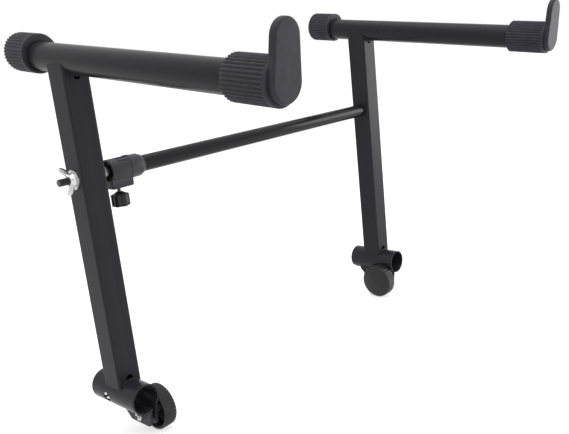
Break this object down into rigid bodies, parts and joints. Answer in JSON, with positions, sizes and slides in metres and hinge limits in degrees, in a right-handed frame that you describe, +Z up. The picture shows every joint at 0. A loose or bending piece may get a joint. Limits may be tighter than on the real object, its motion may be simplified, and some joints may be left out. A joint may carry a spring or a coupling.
{
  "type": "keyboard stand upper tier",
  "caption": "Clamp-on upper tier for a folding keyboard stand: arms with lipped ends on uprights with split clamp sleeves, joined by a telescoping, pivoting crossbar.",
  "frame": {"origin": "middle of the right unit's clamp bore", "axes": "+X to the right seen from the player, along the crossbar; +Y to the rear, along the clamp bores; +Z up, along the uprights"},
  "size_m": [0.573, 0.3953, 0.4628],
  "materials": {
    "upright_coat": "satin black powder coat",
    "arm_coat": "satin black powder coat",
    "clamp_coat": "satin black powder coat",
    "crossbar_gloss": "gloss black",
    "rubber": "matte ribbed rubber",
    "knob_plastic": "fine grained black plastic",
    "collar_plastic": "fine grained black plastic",
    "zinc": "bright zinc plate",
    "bright_rod": "drawn steel",
    "dark_screw": "black oxide",
    "brass": "turned"
  },
  "bodies": {
    "right_side": {"right_upright": "upright_coat", "right_arm_tube": "arm_coat", "right_rear_cap": "rubber", "right_front_stop": "rubber", "right_clamp_sleeve": "clamp_coat", "right_outer_ear": "clamp_coat", "right_inner_ear": "clamp_coat", "right_clamp_nut": "zinc", "right_arm_weld": "clamp_coat", "right_sleeve_weld": "clamp_coat", "crossbar_tube": "crossbar_gloss", "crossbar_weld": "clamp_coat", "crossbar_collar": "collar_plastic", "collar_insert_nut": "brass"},
    "rod": {"inner_rod": "bright_rod", "rod_insert": "zinc", "pivot_stud": "dark_screw", "pivot_washer": "zinc"},
    "left_side": {"left_upright": "upright_coat", "left_arm_tube": "arm_coat", "left_rear_cap": "rubber", "left_front_stop": "rubber", "left_clamp_sleeve": "clamp_coat", "left_outer_ear": "clamp_coat", "left_inner_ear": "clamp_coat", "left_clamp_nut": "zinc", "left_arm_weld": "clamp_coat", "left_sleeve_weld": "clamp_coat"},
    "wing": {"wing_nut": "zinc", "wing_washer": "zinc"},
    "right_knob": {"right_clamp_screw": "zinc", "right_clamp_washer": "zinc", "right_clamp_knob": "knob_plastic"},
    "left_knob": {"left_clamp_screw": "zinc", "left_clamp_washer": "zinc", "left_clamp_knob": "knob_plastic"},
    "lock": {"lock_screw": "dark_screw", "lock_knob": "knob_plastic"}
  },
  "joints": [
    {"name": "rod_slide", "type": "slide", "parent": "right_side", "child": "rod", "axis": [-1, 0, 0], "range_m": [-0.008, 0.125]},
    {"name": "left_turn", "type": "hinge", "parent": "rod", "child": "left_side", "pos_m": [-0.518, 0, 0.253], "axis": [1, 0, 0], "continuous": true},
    {"name": "wing_spin", "type": "hinge", "parent": "rod", "child": "wing", "pos_m": [-0.538, 0, 0.253], "axis": [-1, 0, 0], "continuous": true},
    {"name": "right_knob_spin", "type": "hinge", "parent": "right_side", "child": "right_knob", "pos_m": [-0.03, -0.02, -0.027], "axis": [-1, 0, 0], "continuous": true},
    {"name": "left_knob_spin", "type": "hinge", "parent": "left_side", "child": "left_knob", "pos_m": [-0.488, -0.02, -0.027], "axis": [1, 0, 0], "continuous": true},
    {"name": "lock_spin", "type": "hinge", "parent": "right_side", "child": "lock", "pos_m": [-0.4812, 0, 0.225], "axis": [0, 0, 1], "continuous": true}
  ]
}
